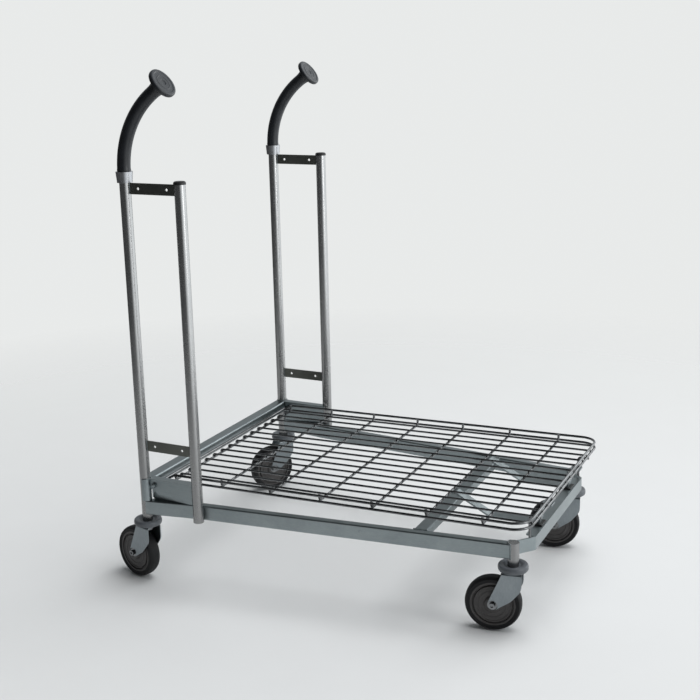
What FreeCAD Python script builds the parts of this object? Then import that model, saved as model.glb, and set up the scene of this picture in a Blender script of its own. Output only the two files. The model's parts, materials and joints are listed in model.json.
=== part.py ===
import FreeCAD, Part
import math
import os

# Platform cart with two side ladders, push grips, a hinged wire deck and four swivel casters.
# X runs forwards, Y to the left and Z up, in mm. The parts are laid out from the rear post line
# (x = 0) on the floor, and move_to_origin shifts them so that the origin is the bottom centre.

os.makedirs("parts", exist_ok=True)
V = FreeCAD.Vector

# Overall layout
wheel_base = 874.0  # rear post line to front caster line
rear_track = 670.0  # between the rear post axes
front_track = 472.0  # between the front caster axes
post_height = 978.0  # where the rear posts begin to bend forwards
frame_over_fork = 29.0  # underside of the side rails above the forks

# Tubes and bars
tube_dia = 25.0
tube_wall = 2.0
rail_height = 35.0
rail_width = 20.0
rail_wall = 2.0
rail_corner = 3.0
rail_shift = 2.0  # rail centre outside the front caster axis
cross_size = 30.0
cross_corner = 5.0
cross_lift = 58.0  # rear cross rail above the side rails' underside
mid_rail_behind = 209.0  # behind the front casters
mid_rail_width = 30.0
mid_rail_height = 20.0

# Side ladders
upright_x = 144.0
upright_top = 953.0
cap_height = 7.0
cap_lip = 1.5
cap_round = 4.2
plug_length = 15.0
ladder_bar_height = 25.0
ladder_bar_thick = 3.0
lower_bar_z = 340.0
bar_spacing = 600.0
bar_hole_spacing = 75.0
bar_hole_dia = 6.5

# Push grips
bend_radius = 206.0
bend_angle = 54.0
grip_reach = 31.0  # straight length of tube after the bend
grip_bottom = 977.0
grip_wall_low = 2.4
grip_wall_high = 2.5
neck_flare = 5.0
neck_length = 22.0
disc_dia = 68.5
disc_thick = 10.5
disc_round = 4.0
disc_dish_dia = 30.0
disc_dish_depth = 1.2
collar_bottom = 953.0
collar_wall_low = 4.5
collar_wall_top = 6.5
collar_screw_dia = 6.0
collar_screw_length = 4.0
collar_screw_inset = 6.0  # from each end of the collar
socket_radius = 1.7
socket_depth = 1.8
collar_screw_turn = -40.0  # screw direction on the right collar, degrees from +X

# Side plates with the deck hinge; heights are above the side rails' underside
plate_thick = 3.0
plate_rise = 89.0
plate_low_rear_rise = 52.0
plate_low_front_rise = 47.0
plate_flange = 19.0
plate_outside = 2.0  # outer face beyond the post axis
web_inside = 8.5  # inner web's outer face, inside the post axis
hinge_x = 26.0
hinge_rise = 74.0
hinge_rod_dia = 8.0
hinge_play = 0.05  # radial clearance of the rod in its holes
washer_dia = 13.0
washer_thick = 1.5
cap_gap = 0.3
slot_width = 4.0
slot_above = 3.0  # between the slot and the hinge washer
hook_width = 7.0
hook_drop = 4.0
hook_tip = 2.0
notch_rise = 8.0
notch_run = 8.0
rod_past = 7.0
cap_length = 3.0
push_cap_dia = 11.0

# Front bar
bar_ahead = 35.0  # front face ahead of the caster axes
bar_inside = 46.0  # corners inside the caster axes
bar_thick = 3.5
bar_face = 31.0
bar_return = 39.0  # degrees that the ends turn back
bar_flange = 24.0
bar_rise = 1.0  # top above the side rails
bar_end_past = 4.0  # ends beyond the caster axes
lip_taper = 6.0
tube_lid = 2.0
buffer_size = 34.0
buffer_thick = 3.5
buffer_round = 1.0

# Deck
deck_tilt = 1.085  # degrees, front up, at rest
rim_dia = 6.0
rim_inside = 41.0  # side rims' centre lines inside the post axes
rim_ahead = 12.0  # front rim's centre line ahead of the front bar
rim_rise = 13.5
rim_corner = 40.0
rim_drop_start = 30.0
rim_drop_end = 15.0
cross_wire_dia = 6.0
cross_wire_first = 28.0
cross_wire_last = 99.0  # behind the front rim
cross_wires = 7
stub_bend = 9.0
stub_rise = 2.0  # ends above the upper rim's centre line
long_wire_dia = 5.0
long_wire_edge = 35.0  # outermost wires inside the side rims
long_wires = 15
skid_y = 117.0
skid_width = 25.0
skid_thick = 4.0
skid_wire = 5  # cross wire that carries the skid's rear end
skid_back = 8.0
skid_seat = 16.0
skid_climb = 20.0
skid_past = 4.0
skid_heel = 129.0  # behind the front bar's face
skid_toe = 15.0
rest_gap = 0.1  # between the skids and the buffers
leg_behind = 12.0  # behind the front bar's face
leg_inside = 38.0  # inside the caster axes
leg_bend = 8.0
leg_gap = 0.6
leg_past = 2.0  # ahead of the front rim's centre line

# Casters
wheel_dia = 125.0
tyre_width = 31.0
tyre_height = 12.5
bead_height = 2.5
bead_step = 1.0
shoulder_height = 4.0
shoulder_width = 8.0
hub_width = 27.0
groove_start = 4.0  # inside the tyre
groove_width = 5.0
groove_depth = 4.0
groove_draft = 1.0
hub_boss_dia = 34.0
boss_draft = 2.0
hub_bore_gap = 1.0
caster_trail = 41.5
bumper_dia = 66.0
bumper_gap = 0.6
bumper_height = 15.0
bumper_round = 6.5
well_depth = 4.5
well_dia_top = 44.0
well_dia_low = 36.0
fork_over_wheel = 16.0
fork_outer = 40.0
fork_thick = 2.5
fork_bend = 6.0
fork_half = 20.5
fork_boss = 11.5
knee_back = -2.0
knee_share = 0.6  # height as a share of the wheel
front_edge_drop = 39.0
front_edge_round = 30.0
knee_round = 40.0
stem_dia = 12.0
stem_play = 0.05
stem_rise = 60.0  # above the fork
stem_chamfer = 1.0
race_height = 6.5
race_gap = 0.3
race_chamfer = 2.0
stem_head_dia = 22.0
stem_head_height = 3.0
expander_rise = 18.0  # above the fork
expander_height = 34.0
expander_taper = 2.0
expander_taper_height = 3.0
axle_dia = 8.0
axle_play = 0.05
axle_head_dia = 13.0
axle_socket = 6.0  # across the flats
axle_socket_depth = 3.0
axle_nut = 13.0  # across the flats
axle_head_height = 5.0
axle_nut_height = 6.5
bolt_past = 2.0  # shank beyond the nut
bearing_dia = 22.0
bearing_width = 7.0
hub_gap = 0.5
turns = {"rear_right": -15.5, "rear_left": 56.0, "front_right": 10.0, "front_left": 14.0}

# Sizes that follow from the ones above
tube_r = tube_dia / 2
post_y = rear_track / 2
fork_top = wheel_dia + fork_over_wheel
bumper_bottom = fork_top + bumper_gap
bumper_top = bumper_bottom + bumper_height
tube_bottom = bumper_top - well_depth
stem_top = fork_top + stem_rise
expander_bottom = fork_top + expander_rise
frame_bottom = fork_top + frame_over_fork
rail_top = frame_bottom + rail_height
cross_bottom = frame_bottom + cross_lift
plate_top = frame_bottom + plate_rise
plate_low_rear = frame_bottom + plate_low_rear_rise
plate_low_front = frame_bottom + plate_low_front_rise
hinge_z = frame_bottom + hinge_rise
upper_bar_z = lower_bar_z + bar_spacing
cap_dia = tube_dia + 2 * cap_lip
grip_dia_low = tube_dia + 2 * grip_wall_low
grip_dia_high = tube_dia + 2 * grip_wall_high
neck_dia = grip_dia_high + 2 * neck_flare
collar_dia_low = tube_dia + 2 * collar_wall_low
collar_dia_top = tube_dia + 2 * collar_wall_top
mid_rail_x = wheel_base - mid_rail_behind
bar_front_x = wheel_base + bar_ahead
bar_half = front_track / 2 - bar_inside
bar_top = rail_top + bar_rise
bar_reach = bar_front_x - hinge_x
rim_half = post_y - rim_inside
rim_front = bar_reach + rim_ahead  # from the hinge axis, along the deck
cross_wire_pitch = (rim_front - cross_wire_last - cross_wire_first) / (cross_wires - 1)
long_wire_pitch = 2 * (rim_half - long_wire_edge) / (long_wires - 1)
skid_foot_back = bar_reach - skid_heel
skid_foot_front = bar_reach - skid_toe
leg_x = bar_reach - leg_behind
leg_y = front_track / 2 - leg_inside
tyre_inner_dia = wheel_dia - 2 * tyre_height
groove_outer = tyre_inner_dia / 2 - groove_start
groove_inner = groove_outer - groove_width
knee_z = wheel_dia * knee_share
front_edge_z = fork_top - front_edge_drop
far = 2000.0  # longer than any cut


def box(x0, x1, y0, y1, z0, z1):
    return Part.makeBox(x1 - x0, y1 - y0, z1 - z0, V(x0, y0, z0))


def rod(dia, start, end):
    return Part.makeCylinder(dia / 2, (end - start).Length, start, end - start)


def tube(outer, inner, start, end):
    return rod(outer, start, end).cut(rod(inner, start, end))


def prism(points, height, direction):
    face = Part.Face(Part.makePolygon(points + points[:1]))
    return face.extrude(direction * height)


def mirror(shape):
    return shape.mirror(V(0, 0, 0), V(0, 1, 0))


def group(solids):
    return Part.makeCompound([solid for shape in solids for solid in shape.Solids])


def fillet_along(shape, radius, direction):
    edges = [e for e in shape.Edges if isinstance(e.Curve, Part.Line)
             and abs(e.tangentAt(e.FirstParameter).dot(direction)) > 0.999]
    return shape.makeFillet(radius, edges)


def revolve(profile, axis_point, axis):
    """Turn a closed profile of points round an axis."""
    face = Part.Face(Part.makePolygon(profile + profile[:1]))
    return face.revolve(axis_point, axis, 360)


def ring(profile):
    """Turn (radius, z) points round the Z axis."""
    return revolve([V(r, 0, z) for r, z in profile], V(0, 0, 0), V(0, 0, 1))


def rounded_path(points, radius):
    """Straight runs joined by tangent arcs of one radius."""
    edges = []
    start = points[0]
    for before, corner, after in zip(points, points[1:], points[2:]):
        along_in = (corner - before).normalize()
        along_out = (after - corner).normalize()
        turn = along_in.getAngle(along_out)
        back = radius * math.tan(turn / 2)
        first = corner - along_in * back
        last = corner + along_out * back
        inward = (along_out - along_in).normalize()
        centre = corner + inward * (radius / math.cos(turn / 2))
        edges.append(Part.LineSegment(start, first).toShape())
        edges.append(Part.Arc(first, centre - inward * radius, last).toShape())
        start = last
    edges.append(Part.LineSegment(start, points[-1]).toShape())
    return Part.Wire(edges)


def sweep(path, dia):
    """Round bar along a path of lines and arcs."""
    start = path.Vertexes[0].Point
    along = path.Edges[0].tangentAt(path.Edges[0].FirstParameter)
    circle = Part.Wire(Part.Circle(start, along, dia / 2).toShape())
    return path.makePipeShell([circle], True, False)


# Frame

def post_path(low, reach):
    """Centre line of a rear post at y = 0, from height low to reach past the bend."""
    angle = math.radians(bend_angle)
    half = angle / 2
    centre = V(bend_radius, 0, post_height)
    middle = centre + V(-math.cos(half), 0, math.sin(half)) * bend_radius
    end = centre + V(-math.cos(angle), 0, math.sin(angle)) * bend_radius
    along = V(math.sin(angle), 0, math.cos(angle))
    edges = [Part.LineSegment(V(0, 0, low), V(0, 0, post_height)).toShape(),
             Part.Arc(V(0, 0, post_height), middle, end).toShape(),
             Part.LineSegment(end, end + along * reach).toShape()]
    return Part.Wire(edges), end + along * reach, along


def rear_post():
    path = post_path(tube_bottom, grip_reach)[0]
    bore = sweep(path, tube_dia - 2 * tube_wall)
    return sweep(path, tube_dia).cut(bore)


def grip():
    path, tip, along = post_path(grip_bottom, grip_reach)
    low = Part.Wire(Part.Circle(V(0, 0, grip_bottom), V(0, 0, 1), grip_dia_low / 2).toShape())
    high = Part.Wire(Part.Circle(tip, along, grip_dia_high / 2).toShape())
    body = path.makePipeShell([low, high], True, False)
    neck = Part.makeCone(grip_dia_high / 2, neck_dia / 2, neck_length, tip - along * neck_length, along)
    core = sweep(post_path(grip_bottom, grip_reach)[0], tube_dia)
    return body.fuse(neck).removeSplitter().cut(core)


def grip_disc():
    """Round end stop, dished in the middle."""
    r = disc_dia / 2
    disc = Part.makeCylinder(r, disc_thick)
    disc = disc.makeFillet(disc_round, [e for e in disc.Edges if isinstance(e.Curve, Part.Circle)])
    dish = Part.makeCylinder(disc_dish_dia / 2, disc_dish_depth, V(0, 0, disc_thick - disc_dish_depth))
    disc = disc.cut(dish)
    tip, along = post_path(grip_bottom, grip_reach)[1:]
    disc.Placement = FreeCAD.Placement(tip, FreeCAD.Rotation(V(0, 0, 1), along))
    return disc


def collar():
    cone = Part.makeCone(collar_dia_low / 2, collar_dia_top / 2, grip_bottom - collar_bottom,
                         V(0, 0, collar_bottom))
    return cone.cut(rod(tube_dia, V(0, 0, collar_bottom), V(0, 0, grip_bottom)))


def collar_screw(height, turn):
    """Set screw sunk in the collar, with a hexagon socket."""
    angle = math.radians(turn)
    out = V(math.cos(angle), math.sin(angle), 0)
    start = V(0, 0, height) + out * tube_r
    screw = rod(collar_screw_dia, start, start + out * collar_screw_length)
    corners = [V(math.cos(math.radians(60 * k)), math.sin(math.radians(60 * k)), 0) * socket_radius
               for k in range(6)]
    socket = prism(corners, socket_depth, V(0, 0, 1))
    floor = start + out * (collar_screw_length - socket_depth)
    socket.Placement = FreeCAD.Placement(floor, FreeCAD.Rotation(V(0, 0, 1), out))
    return screw, socket


def ladder_bar(height):
    """Flat bar between the post and the upright, with two mounting holes."""
    half = ladder_bar_thick / 2
    bar = box(0, upright_x, -half, half, height - ladder_bar_height / 2, height + ladder_bar_height / 2)
    for x in (0, upright_x):
        bar = bar.cut(rod(tube_dia, V(x, 0, 0), V(x, 0, far)))
    for side in (-1, 1):
        x = (upright_x + side * bar_hole_spacing) / 2
        bar = bar.cut(rod(bar_hole_dia, V(x, -tube_dia, height), V(x, tube_dia, height)))
    return bar


def upright_cap():
    """Push-in plug with a domed head."""
    head = Part.makeCylinder(cap_dia / 2, cap_height, V(0, 0, upright_top))
    head = head.makeFillet(cap_round, [head.Edges[0]])
    plug = rod(tube_dia - 2 * tube_wall, V(0, 0, upright_top - plug_length), V(0, 0, upright_top))
    return head.fuse(plug).removeSplitter()


def side_plate():
    """Side plate with a top flange and an inner web, at y = 0 on the post axis, +Y outwards."""
    outer = plate_outside
    slot_x = tube_r + plate_thick
    hook_x = slot_x + slot_width
    notch_x = hook_x + hook_width
    slot_top = hinge_z - washer_dia / 2 - slot_above
    hook_low = plate_low_front - hook_drop
    outline = [V(0, 0, rail_top), V(slot_x, 0, rail_top), V(slot_x, 0, slot_top),
               V(hook_x, 0, slot_top), V(hook_x, 0, hook_low),
               V(hook_x + hook_tip, 0, hook_low), V(notch_x, 0, plate_low_rear + notch_rise),
               V(notch_x + notch_run, 0, plate_low_rear), V(upright_x, 0, plate_low_front),
               V(upright_x, 0, plate_top), V(0, 0, plate_top)]
    flat = prism(outline, plate_thick, V(0, 1, 0))
    flat.translate(V(0, outer - plate_thick, 0))
    wrap = tube(tube_dia + 2 * plate_thick, tube_dia, V(0, 0, rail_top), V(0, 0, plate_top))
    wrap = wrap.common(box(0, slot_x, outer - plate_thick, far, rail_top, plate_top))
    flange = box(slot_x, upright_x, outer - plate_flange, outer, plate_top - plate_thick, plate_top)
    web = box(slot_x, upright_x, -web_inside - plate_thick, -web_inside, rail_top, plate_top)
    plate = flat.fuse([wrap, flange, web]).removeSplitter()
    for x in (0, upright_x):
        plate = plate.cut(rod(tube_dia, V(x, 0, 0), V(x, 0, far)))
    hole = hinge_rod_dia + 2 * hinge_play
    return plate.cut(rod(hole, V(hinge_x, -far, hinge_z), V(hinge_x, far, hinge_z)))


def rail_line(offset):
    """Plan points of a line along the left rail, offset outwards from its centre line."""
    rear = V(0, post_y + tube_r - rail_width / 2, 0)
    bend = V(upright_x, post_y - tube_r - rail_width / 2, 0)
    front = V(wheel_base, front_track / 2 + rail_shift, 0)
    return [rear + V(0, offset, 0), bend + V(0, offset, 0), front + V(0, offset, 0)]


def rail_prism(inset, low, high):
    half = rail_width / 2 - inset
    outside = rail_line(half)
    inside = rail_line(-half)
    solid = prism(outside + inside[::-1], high - low, V(0, 0, 1))
    solid.translate(V(0, 0, low))
    return solid


def side_rail():
    """Left rail: a box tube that tapers in from the rear post to the front caster tube."""
    outer = rail_prism(0, frame_bottom, rail_top)
    long_edges = [e for e in outer.Edges if e.Length > upright_x - 1]
    outer = outer.makeFillet(rail_corner, long_edges)
    rail = outer.cut(rail_prism(rail_wall, frame_bottom + rail_wall, rail_top - rail_wall))
    for x, y in ((0, post_y), (upright_x, post_y), (wheel_base, front_track / 2)):
        rail = rail.cut(rod(tube_dia, V(x, y, 0), V(x, y, far)))
    return max(rail.Solids, key=lambda s: s.Volume)


def box_tube(x0, x1, z0, z1, corner, half_length):
    outer = box(x0, x1, -half_length, half_length, z0, z1)
    outer = fillet_along(outer, corner, V(0, 1, 0))
    w = tube_wall
    inner = box(x0 + w, x1 - w, -half_length, half_length, z0 + w, z1 - w)
    inner = fillet_along(inner, corner - w, V(0, 1, 0))
    return outer.cut(inner)


def rear_cross_rail():
    half = cross_size / 2
    rail = box_tube(-half, half, cross_bottom, cross_bottom + cross_size, cross_corner,
                    post_y + plate_outside - plate_thick)
    for y in (-post_y, post_y):
        rail = rail.cut(rod(tube_dia, V(0, y, 0), V(0, y, far)))
    return max(rail.Solids, key=lambda s: s.Volume)


def mid_cross_rail():
    half = mid_rail_width / 2
    rail = box_tube(mid_rail_x - half, mid_rail_x + half, rail_top - mid_rail_height, rail_top,
                    rail_corner, post_y)
    side = rail_prism(0, frame_bottom, rail_top)
    rail = rail.cut(side).cut(mirror(side))
    return max(rail.Solids, key=lambda s: s.Volume)


def front_bar_line(inset):
    """Plan points of the front bar's left half, from the middle to the caster tube."""
    angle = math.radians(bar_return)
    corner = V(bar_front_x - inset, bar_half - inset * math.tan(angle / 2), 0)
    run = front_track / 2 + bar_end_past - bar_half
    return [V(corner.x, 0, 0), corner, corner + V(-run * math.tan(angle), run, 0)]


def front_bar():
    outside = front_bar_line(0)
    inside = front_bar_line(bar_thick)
    wall = prism(outside + inside[::-1], bar_face, V(0, 0, 1))
    lip_back = bar_front_x - bar_flange
    lip = prism([V(lip_back, 0, 0), inside[0], inside[1], V(lip_back, inside[1].y - lip_taper, 0)],
                bar_thick, V(0, 0, 1))
    lip.translate(V(0, 0, bar_face - bar_thick))
    half = wall.fuse(lip)
    bar = half.fuse(mirror(half)).removeSplitter()
    bar.translate(V(0, 0, bar_top - bar_face))
    for y in (-front_track / 2, front_track / 2):
        bar = bar.cut(rod(tube_dia, V(wheel_base, y, 0), V(wheel_base, y, far)))
    return max(bar.Solids, key=lambda s: s.Volume)


def front_caster_tube():
    """Left tube over a front caster, closed at the top."""
    foot = V(wheel_base, front_track / 2, tube_bottom)
    top = V(wheel_base, front_track / 2, bar_top)
    bore = rod(tube_dia - 2 * tube_wall, foot, top - V(0, 0, tube_lid))
    return rod(tube_dia, foot, top).cut(bore)


def rest_buffers():
    """Rubber pads on the front bar's lip, one under each deck skid."""
    front = bar_front_x - bar_thick
    pad_top = bar_top + buffer_thick
    pads = []
    for y in (-skid_y, skid_y):
        pad = box(bar_front_x - bar_flange, front, y - buffer_size / 2, y + buffer_size / 2,
                  bar_top, pad_top)
        top_edges = [e for e in pad.Edges if abs(e.CenterOfMass.z - pad_top) < 0.1]
        pads.append(pad.makeFillet(buffer_round, top_edges))
    return pads


# Casters

def at_casters(shape):
    """Copies of a shape at the four caster axes."""
    copies = []
    for x, y in caster_places().values():
        copy = shape.copy()
        copy.translate(V(x, y, 0))
        copies.append(copy)
    return copies


def caster_places():
    return {"rear_right": (0, -post_y), "rear_left": (0, post_y),
            "front_right": (wheel_base, -front_track / 2), "front_left": (wheel_base, front_track / 2)}


def bumper():
    r = bumper_dia / 2
    body = Part.makeCylinder(r, bumper_top - bumper_bottom, V(0, 0, bumper_bottom))
    body = body.makeFillet(bumper_round, [e for e in body.Edges if isinstance(e.Curve, Part.Circle)])
    well = Part.makeCone(well_dia_low / 2, well_dia_top / 2, well_depth, V(0, 0, bumper_top - well_depth))
    stem = Part.makeCylinder(stem_dia / 2, far)
    return body.cut(well).cut(stem)


def stem():
    """Fixed pin of a caster, with the riveted head that holds the fork."""
    race_low = fork_top - fork_thick - race_height
    head_top = race_low - race_gap
    r = stem_dia / 2
    head_r = stem_head_dia / 2
    head_low = head_top - stem_head_height
    c = stem_chamfer
    return ring([(0, head_low), (head_r - c, head_low), (head_r, head_low + c), (head_r, head_top),
                 (r, head_top), (r, stem_top - c), (r - c, stem_top), (0, stem_top)])


def expander():
    bore = stem_dia / 2
    outer = tube_r - tube_wall
    top = expander_bottom + expander_height
    return ring([(bore, expander_bottom), (outer, expander_bottom), (outer, top - expander_taper_height),
                 (outer - expander_taper, top), (bore, top)])


def fork_outline():
    """Side view of a fork leg: crown, knee and the round boss at the axle."""
    centre = V(-caster_trail, 0, wheel_dia / 2)
    crown_back = V(-fork_half, 0, fork_top)
    crown_front = V(fork_half, 0, fork_top)
    edge_low = V(fork_half, 0, front_edge_z)
    knee = V(knee_back, 0, knee_z)

    def touch(point, side):
        to_point = point - centre
        reach = math.acos(fork_boss / to_point.Length)
        angle = math.atan2(to_point.z, to_point.x) + side * reach
        return centre + V(math.cos(angle), 0, math.sin(angle)) * fork_boss

    low = touch(knee, -1)
    high = touch(crown_back, 1)
    away = (centre * 2 - low - high).normalize()
    bottom = centre + away * fork_boss
    edges = [Part.LineSegment(crown_back, crown_front).toShape(),
             Part.LineSegment(crown_front, edge_low).toShape(),
             Part.LineSegment(edge_low, knee).toShape(),
             Part.LineSegment(knee, low).toShape(),
             Part.Arc(low, bottom, high).toShape(),
             Part.LineSegment(high, crown_back).toShape()]
    return Part.Face(Part.Wire(edges))


def fork():
    """Pressed fork: a channel across the wheel, cut to the side outline."""
    half = fork_outer / 2
    channel = box(-far / 2, far / 2, -half, half, 0, fork_top)
    top_edges = [e for e in channel.Edges if abs(abs(e.CenterOfMass.y) - half) < 0.1
                 and abs(e.CenterOfMass.z - fork_top) < 0.1]
    channel = channel.makeFillet(fork_bend, top_edges)
    inside = box(-far / 2, far / 2, fork_thick - half, half - fork_thick, 0, fork_top - fork_thick)
    top_edges = [e for e in inside.Edges if abs(abs(e.CenterOfMass.y) - half + fork_thick) < 0.1
                 and abs(e.CenterOfMass.z - fork_top + fork_thick) < 0.1]
    inside = inside.makeFillet(fork_bend - fork_thick, top_edges)
    side = fork_outline().extrude(V(0, fork_outer, 0))
    for x, z, radius in ((fork_half, front_edge_z, front_edge_round), (knee_back, knee_z, knee_round)):
        corner = [e for e in side.Edges if (e.CenterOfMass - V(x, half, z)).Length < 0.01]
        side = side.makeFillet(radius, corner)
    side.translate(V(0, -half, 0))
    body = channel.cut(inside).common(side)
    body = body.cut(Part.makeCylinder(stem_dia / 2 + stem_play, far))
    axle_z = wheel_dia / 2
    return body.cut(rod(axle_dia, V(-caster_trail, -half, axle_z), V(-caster_trail, half, axle_z)))


def swivel_race():
    """Ball race pressed into the crown of the fork."""
    high = fork_top - fork_thick
    low = high - race_height
    bore = stem_dia / 2 + stem_play
    r = fork_outer / 2 - fork_bend
    return ring([(bore, low), (r - race_chamfer, low), (r, low + race_chamfer), (r, high), (bore, high)])


def hexagon(flats, y0, y1):
    r = flats / math.sqrt(3)
    corners = [V(r * math.cos(math.radians(60 * k)), y0, r * math.sin(math.radians(60 * k)))
               for k in range(6)]
    return prism(corners, y1 - y0, V(0, 1, 0))


def axle_bolt():
    """Axle bolt with a socket head on one leg and a lock nut on the other."""
    half = fork_outer / 2
    shank = rod(axle_dia, V(0, -half, 0), V(0, half + axle_nut_height + bolt_past, 0))
    head_end = -half - axle_head_height
    head = rod(axle_head_dia, V(0, head_end, 0), V(0, -half, 0))
    bolt = shank.fuse(head).removeSplitter()
    bolt = bolt.cut(hexagon(axle_socket, head_end, head_end + axle_socket_depth))
    nut = hexagon(axle_nut, half, half + axle_nut_height)
    nut = nut.cut(rod(axle_dia, V(0, half, 0), V(0, half + axle_nut_height, 0)))
    return [bolt, nut]


def spun(profile):
    """Turn (radius, y) points round the wheel axis."""
    return revolve([V(r, y, 0) for r, y in profile], V(0, 0, 0), V(0, 1, 0))


def tyre():
    r = wheel_dia / 2
    inner = tyre_inner_dia / 2
    half = tyre_width / 2
    side = hub_width / 2
    right = [(inner, -side), (inner + bead_height, bead_step - half), (r - shoulder_height, -half),
             (r - 0.3 * shoulder_height, 0.4 * shoulder_width - half), (r, shoulder_width - half)]
    left = [(radius, -y) for radius, y in right[::-1]]
    return spun(right + left)


def hub():
    outer = tyre_inner_dia / 2
    half = hub_width / 2
    boss = fork_outer / 2 - fork_thick - hub_gap
    boss_r = hub_boss_dia / 2
    bore = axle_dia / 2 + hub_bore_gap
    seat = bearing_dia / 2
    right = [(outer, -half), (groove_outer, -half), (groove_outer - groove_draft, groove_depth - half),
             (groove_inner + groove_draft, groove_depth - half), (groove_inner, -half),
             (boss_r + boss_draft, -half), (boss_r, -boss), (seat, -boss),
             (seat, bearing_width - boss), (bore, bearing_width - boss)]
    left = [(radius, -y) for radius, y in right[::-1]]
    return spun(right + left)


def wheel_bearings():
    """Two bearings in the hub, running on the axle bolt."""
    boss = fork_outer / 2 - fork_thick - hub_gap
    bore = axle_dia + 2 * axle_play
    return [tube(bearing_dia, bore, V(0, -boss, 0), V(0, bearing_width - boss, 0)),
            tube(bearing_dia, bore, V(0, boss - bearing_width, 0), V(0, boss, 0))]


def place_swivel(shape, name):
    x, y = caster_places()[name]
    turned = shape.copy()
    turned.rotate(V(0, 0, 0), V(0, 0, 1), turns[name])
    turned.translate(V(x, y, 0))
    return turned


def place_wheel(shape, name):
    axle = shape.copy()
    axle.translate(V(-caster_trail, 0, wheel_dia / 2))
    return place_swivel(axle, name)


# Deck, laid out from its hinge axis and level; tilt_deck puts it in place

def lower_rim():
    path = rounded_path([V(0, rim_half, 0), V(rim_front, rim_half, 0), V(rim_front, -rim_half, 0),
                         V(0, -rim_half, 0)], rim_corner)
    bar = sweep(path, rim_dia)
    bar = bar.cut(rod(hinge_rod_dia, V(0, -post_y, 0), V(0, post_y, 0)))
    return max(bar.Solids, key=lambda s: s.Volume)


def upper_rim():
    """Rail wire above the lower rim; its rear ends slope down onto the lower rim."""
    loop = rounded_path([V(rim_drop_start, rim_half, rim_rise), V(rim_front, rim_half, rim_rise),
                         V(rim_front, -rim_half, rim_rise), V(rim_drop_start, -rim_half, rim_rise)],
                        rim_corner)
    bar = sweep(loop, rim_dia)
    for y in (-rim_half, rim_half):
        top = V(rim_drop_start, y, rim_rise)
        end = V(rim_drop_end, y, rim_dia)
        bar = bar.fuse([rod(rim_dia, end, top), Part.makeSphere(rim_dia / 2, top),
                        Part.makeSphere(rim_dia / 2, end)])
    return bar.removeSplitter()


def deck_cross_wires():
    """Wires across the deck, their ends turned up beside the rims."""
    y = rim_half - (rim_dia + cross_wire_dia) / 2
    wires = []
    for k in range(cross_wires):
        x = cross_wire_first + k * cross_wire_pitch
        end = rim_rise + stub_rise
        path = rounded_path([V(x, -y, end), V(x, -y, 0), V(x, y, 0), V(x, y, end)], stub_bend)
        wires.append(sweep(path, cross_wire_dia))
    return wires


def deck_long_wires():
    """Wires along the deck, on top of the cross wires, hooked down behind the first one."""
    lift = (cross_wire_dia + long_wire_dia) / 2
    back = cross_wire_first - (cross_wire_dia + long_wire_dia) / 2
    wires = []
    for k in range(long_wires):
        y = (k - (long_wires - 1) / 2) * long_wire_pitch
        path = rounded_path([V(back, y, -cross_wire_dia / 2), V(back, y, lift), V(rim_front, y, lift)],
                            long_wire_dia)
        wires.append(sweep(path, long_wire_dia))
    return wires


def depth_at(x, z):
    """Depth below the deck's hinge plane of the point at x and z, with the deck at rest."""
    tilt = math.radians(deck_tilt)
    return (hinge_z - z) * math.cos(tilt) + (x - hinge_x) * math.sin(tilt)


def deck_skid():
    """Bent flat strip that carries the deck's front on the front bar."""
    top = -cross_wire_dia / 2
    drop = skid_thick - depth_at(bar_front_x - bar_flange, bar_top + buffer_thick + rest_gap)
    start = cross_wire_first + skid_wire * cross_wire_pitch - skid_back
    line = [V(start, 0, top), V(start + skid_seat, 0, top), V(skid_foot_back, 0, drop),
            V(skid_foot_front, 0, drop), V(rim_front - skid_climb, 0, top), V(rim_front + skid_past, 0, top)]
    under = []
    for k, point in enumerate(line):
        before = line[max(k - 1, 0)]
        after = line[min(k + 1, len(line) - 1)]
        first = (point - before).normalize() if k else (after - point).normalize()
        second = (after - point).normalize() if k < len(line) - 1 else first
        normal = V(first.z + second.z, 0, -first.x - second.x).normalize()
        share = normal.dot(V(first.z, 0, -first.x))
        under.append(point + normal * (skid_thick / share))
    strip = prism(line + under[::-1], skid_width, V(0, 1, 0))
    strip.translate(V(0, skid_y - skid_width / 2, 0))
    return strip


def deck_legs():
    """Bent wire legs under the front rim, ending just above the front bar."""
    foot = -depth_at(hinge_x + leg_x, bar_top + leg_gap)
    legs = []
    for y in (-leg_y, leg_y):
        path = rounded_path([V(rim_front + leg_past, y, -rim_dia), V(leg_x, y, -rim_dia), V(leg_x, y, foot)],
                            leg_bend)
        legs.append(sweep(path, rim_dia))
    return legs


def hinge_rod():
    reach = post_y + washer_thick + rod_past
    return rod(hinge_rod_dia, V(0, -reach, 0), V(0, reach, 0))


def hinge_caps():
    """Washer and push-on cap at each end of the hinge rod."""
    start = post_y + plate_outside + cap_gap
    caps = []
    for side in (-1, 1):
        seat = V(0, side * start, 0)
        shoulder = V(0, side * (start + washer_thick), 0)
        end = V(0, side * (start + washer_thick + cap_length), 0)
        washer = tube(washer_dia, hinge_rod_dia, seat, shoulder)
        cap = tube(push_cap_dia, hinge_rod_dia, shoulder, end)
        caps.append(washer.fuse(cap).removeSplitter())
    return caps


def tilt_deck(shape):
    placed = shape.copy()
    placed.rotate(V(0, 0, 0), V(0, -1, 0), deck_tilt)
    placed.translate(V(hinge_x, 0, hinge_z))
    return placed


# All nodes

def both_sides(nodes, name, shape):
    """Put a left shape in place on both sides."""
    nodes[name + "_left"] = shape
    nodes[name + "_right"] = mirror(shape)


def at_post(shape, x=0.0):
    moved = shape.copy()
    moved.translate(V(x, post_y, 0))
    return moved


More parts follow.
